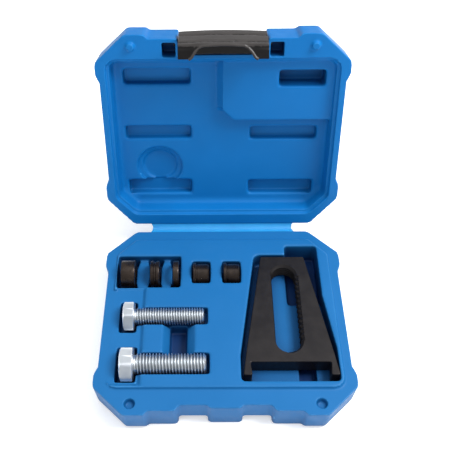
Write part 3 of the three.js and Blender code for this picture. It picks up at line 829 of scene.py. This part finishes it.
def make_latch():
    """The latch, drawn on the flat lid: a crowned plate, cheeks, an arched lip, an inner web and pivots."""
    half, front, wall = 24.4, 129.0, 1.5
    head, lip = -7.0, 16.0
    pivot_d, pivot_z, pivot_radius, pivot_reach = 122.5, -4.5, 1.8, 27.4

    def block(x0, x1, d0, d1, z0, z1):
        y0, y1 = HINGE.y + d0 * MM, HINGE.y + d1 * MM
        return box_mesh(x0 * MM, x1 * MM, y0, y1, RIM + z0 * MM, RIM + z1 * MM)

    corner_z = 12.2          # where the plate ends and the flared lip begins
    lip_depth = front - 121.2
    rise = [
        (24.4, 121.2), (18.4, 121.2), (17.2, 121.9), (15.2, 124.6),
        (13.4, 126.6), (11.4, 127.5), (6, 127.9),
    ]
    lip_line = rise + [(0.0, 128.0)] + [(-x, d) for x, d in reversed(rise)]
    outline = [(x * MM, HINGE.y + d * MM) for x, d in [(-half, front), (half, front)] + lip_line]

    def flare(x, y, z):
        return x, y, z + (lip - corner_z) * MM * (HINGE.y + front * MM - y) / (lip_depth * MM)

    def bead(x0, d0, x1, d1, radius):
        """A short rod along the edge of the arch."""
        z = RIM + (corner_z - 0.5) * MM
        ends = [Vector((x * MM, HINGE.y + d * MM, z)) for x, d in ((x0, d0), (x1, d1))]
        along = (ends[1] - ends[0]).normalized()
        side = along.cross(Vector((0, 0, 1)))
        return loft("bead", [
            [end + radius * MM * (math.cos(a) * side + math.sin(a) * Vector((0, 0, 1))) for a in turns(10)]
            for end in (ends[0] - 0.3 * MM * along, ends[1] + 0.3 * MM * along)
        ])

    back = pivot_d - 2.2
    parts = [
        block(-half, half, front - wall, front, head, corner_z),
        block(-half, half, back, front, head, head + wall),
        block(-half + wall, half - wall, 117.7, front - wall / 2, -2.6, -0.4),
        reshaped(prism_mesh(outline, RIM + (corner_z - wall) * MM, RIM + corner_z * MM), flare),
    ]
    for (x0, d0), (x1, d1) in zip(lip_line[1:-2], lip_line[2:-1]):
        parts.append(reshaped(bead(x0, d0, x1, d1, 0.9), flare))
    for side in (-1, 1):
        edges = sorted((side * half, side * (half - wall)))
        parts.append(block(*edges, back, front, head, -1.5))
        parts.append(block(*edges, 123.8, front, -1.6, corner_z))
        parts.append(reshaped(block(*edges, 121.3, front, corner_z - wall, corner_z), flare))
        ends = sorted((side * (half - 0.6), side * pivot_reach))
        y, z = HINGE.y + pivot_d * MM, RIM + pivot_z * MM
        parts.append(loft("pivot", [
            [about_x(x * MM, pivot_radius * MM, a, y, z) for a in turns(24)]
            for x in ends
        ]))
    skin = moulded("latch_moulding", [(part, Matrix.Identity(4)) for part in parts], 0.3 * MM, 3, 0.45)

    grooves, groove_width, groove_depth = (-0.5, 9.4), 0.8, 0.9
    slot_half, slot_low, slot_high, slot_depth = 6.6, 8.6, 11, 1.0
    crown = 0.8

    def move(x, y, z):
        across = x / MM
        d = (y - HINGE.y) / MM
        h = (z - RIM) / MM
        outside = np.clip((d - front + 0.6) / 0.4, 0, 1)
        for middle in grooves:
            d = d - outside * groove_depth * np.exp(-((h - middle) / groove_width) ** 2)
        inside = (np.abs(across) < slot_half) & (h > slot_low) & (h < slot_high)
        d = d - outside * slot_depth * inside
        plate = np.clip((d - 125.5) / 1.5, 0, 1)
        d = d - plate * crown * (across / half) ** 2
        return x, HINGE.y + d * MM, z

    reshaped(skin, move)

    def grain_and_bead_sheen(x, y, z):
        across, d, h = x / MM, (y - HINGE.y) / MM, (z - RIM) / MM
        lined = np.minimum.reduce([np.abs(h - middle) for middle in grooves]) < 0.6
        slotted = (np.abs(across) < slot_half) & (h > slot_low) & (h < slot_high)
        # The bead along the arch takes the greyer grain as a painted highlight.
        beaded = h > corner_z + (lip - corner_z) * (front - d) / lip_depth + 0.12
        return ((d > 127.2) & ~lined & ~slotted) | beaded

    mark(skin, "grain_and_sheen_mask", grain_and_bead_sheen)
    skin.transform(RAISE)
    piece = new_object("latch_moulding", skin, BLACK)
    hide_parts("latch")
    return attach(piece, "latch")


make_base()
make_lid()
make_web()
make_latch()
make_frame()
make_screw("screw_m10", major=5, pitch=1.5, flats=16, head=6.4)
make_screw("screw_m12", major=6, pitch=1.75, flats=18, head=7.5)
make_turned("ring_wide", lambda width: ring_profile(width, 8.4, 5.2))
make_turned("ring_medium", lambda width: ring_profile(width, 8, 5.2, groove=0.5))
make_turned("ring_thin", lambda width: ring_profile(width, 8, 6.2))
make_turned("bush_plain", lambda width: bush_profile(width, 6.2, 7, 3.1))
make_turned("bush_stepped", lambda width: bush_profile(width, 6.2, 7, 4.1))


# ---- studio -------------------------------------------------------------------------------

def make_camera():
    """The view from the front and above: turned to the side, tipped down and rolled slightly."""
    yaw, lift, roll = math.radians(-1.16), math.radians(47.933), math.radians(1.184)
    place = (-0.0077, -0.2336, 0.3731)
    forward = Vector((math.sin(yaw) * math.cos(lift), math.cos(yaw) * math.cos(lift), -math.sin(lift)))
    right = Vector((math.cos(yaw), -math.sin(yaw), 0))
    down = forward.cross(right)
    across = math.cos(roll) * right + math.sin(roll) * down
    below = -math.sin(roll) * right + math.cos(roll) * down
    data = bpy.data.cameras.new("camera")
    data.sensor_width = 36
    data.lens = 57.4
    data.shift_x, data.shift_y = 0.0575, -0.0509
    camera = bpy.data.objects.new("camera", data)
    turn = Matrix((across, -below, -forward)).transposed().to_4x4()
    camera.matrix_world = Matrix.Translation(place) @ turn
    bpy.context.scene.collection.objects.link(camera)
    bpy.context.scene.camera = camera


def area_light(name, place, aim, size, power):
    data = bpy.data.lights.new(name, "AREA")
    data.shape = "RECTANGLE"
    data.size, data.size_y = size
    data.energy = power
    light = bpy.data.objects.new(name, data)
    light.location = place
    light.rotation_euler = (Vector(aim) - Vector(place)).to_track_quat("-Z", "Y").to_euler()
    bpy.context.scene.collection.objects.link(light)


def make_studio():
    """A plain white floor, an even sky that brightens upwards, and two soft lights."""
    look = Look("floor_white", 0.9)
    tones = look.ramp(look.noise(3, 2), (0.3, (0.84, 0.84, 0.84)), (0.7, (0.88, 0.88, 0.88)))
    look.feed("Base Color", tones)
    look.shader.inputs["Emission Color"].default_value = (1, 1, 1, 1)
    look.shader.inputs["Emission Strength"].default_value = 0.45
    floor = new_object("floor", box_mesh(-3, 3, -3, 3, -0.02, 0), look.material, smooth=False)
    world = bpy.data.worlds.new("studio")
    bpy.context.scene.world = world
    world.use_nodes = True
    background = world.node_tree.nodes["Background"]
    tree = world.node_tree
    direction = tree.nodes.new("ShaderNodeTexCoord")
    split = tree.nodes.new("ShaderNodeSeparateXYZ")
    sky = tree.nodes.new("ShaderNodeValToRGB")
    sky.color_ramp.elements.new(0.4)
    for element, position, level in zip(sky.color_ramp.elements, (0.0, 0.4, 0.85), (0.3, 0.6, 0.9)):
        element.position = position
        element.color = (0.96 * level, 0.98 * level, level, 1)
    tree.links.new(direction.outputs["Generated"], split.inputs["Vector"])
    tree.links.new(split.outputs["Z"], sky.inputs["Fac"])
    tree.links.new(sky.outputs["Color"], background.inputs["Color"])
    aim = (0, 0.03, 0.04)
    area_light("key", (0.5, 0.0, 0.82), aim, (0.35, 0.35), 8)
    area_light("top", (-0.15, 0.15, 0.95), aim, (0.7, 0.5), 1)
    bpy.context.scene.view_settings.view_transform = "Standard"


make_camera()
make_studio()
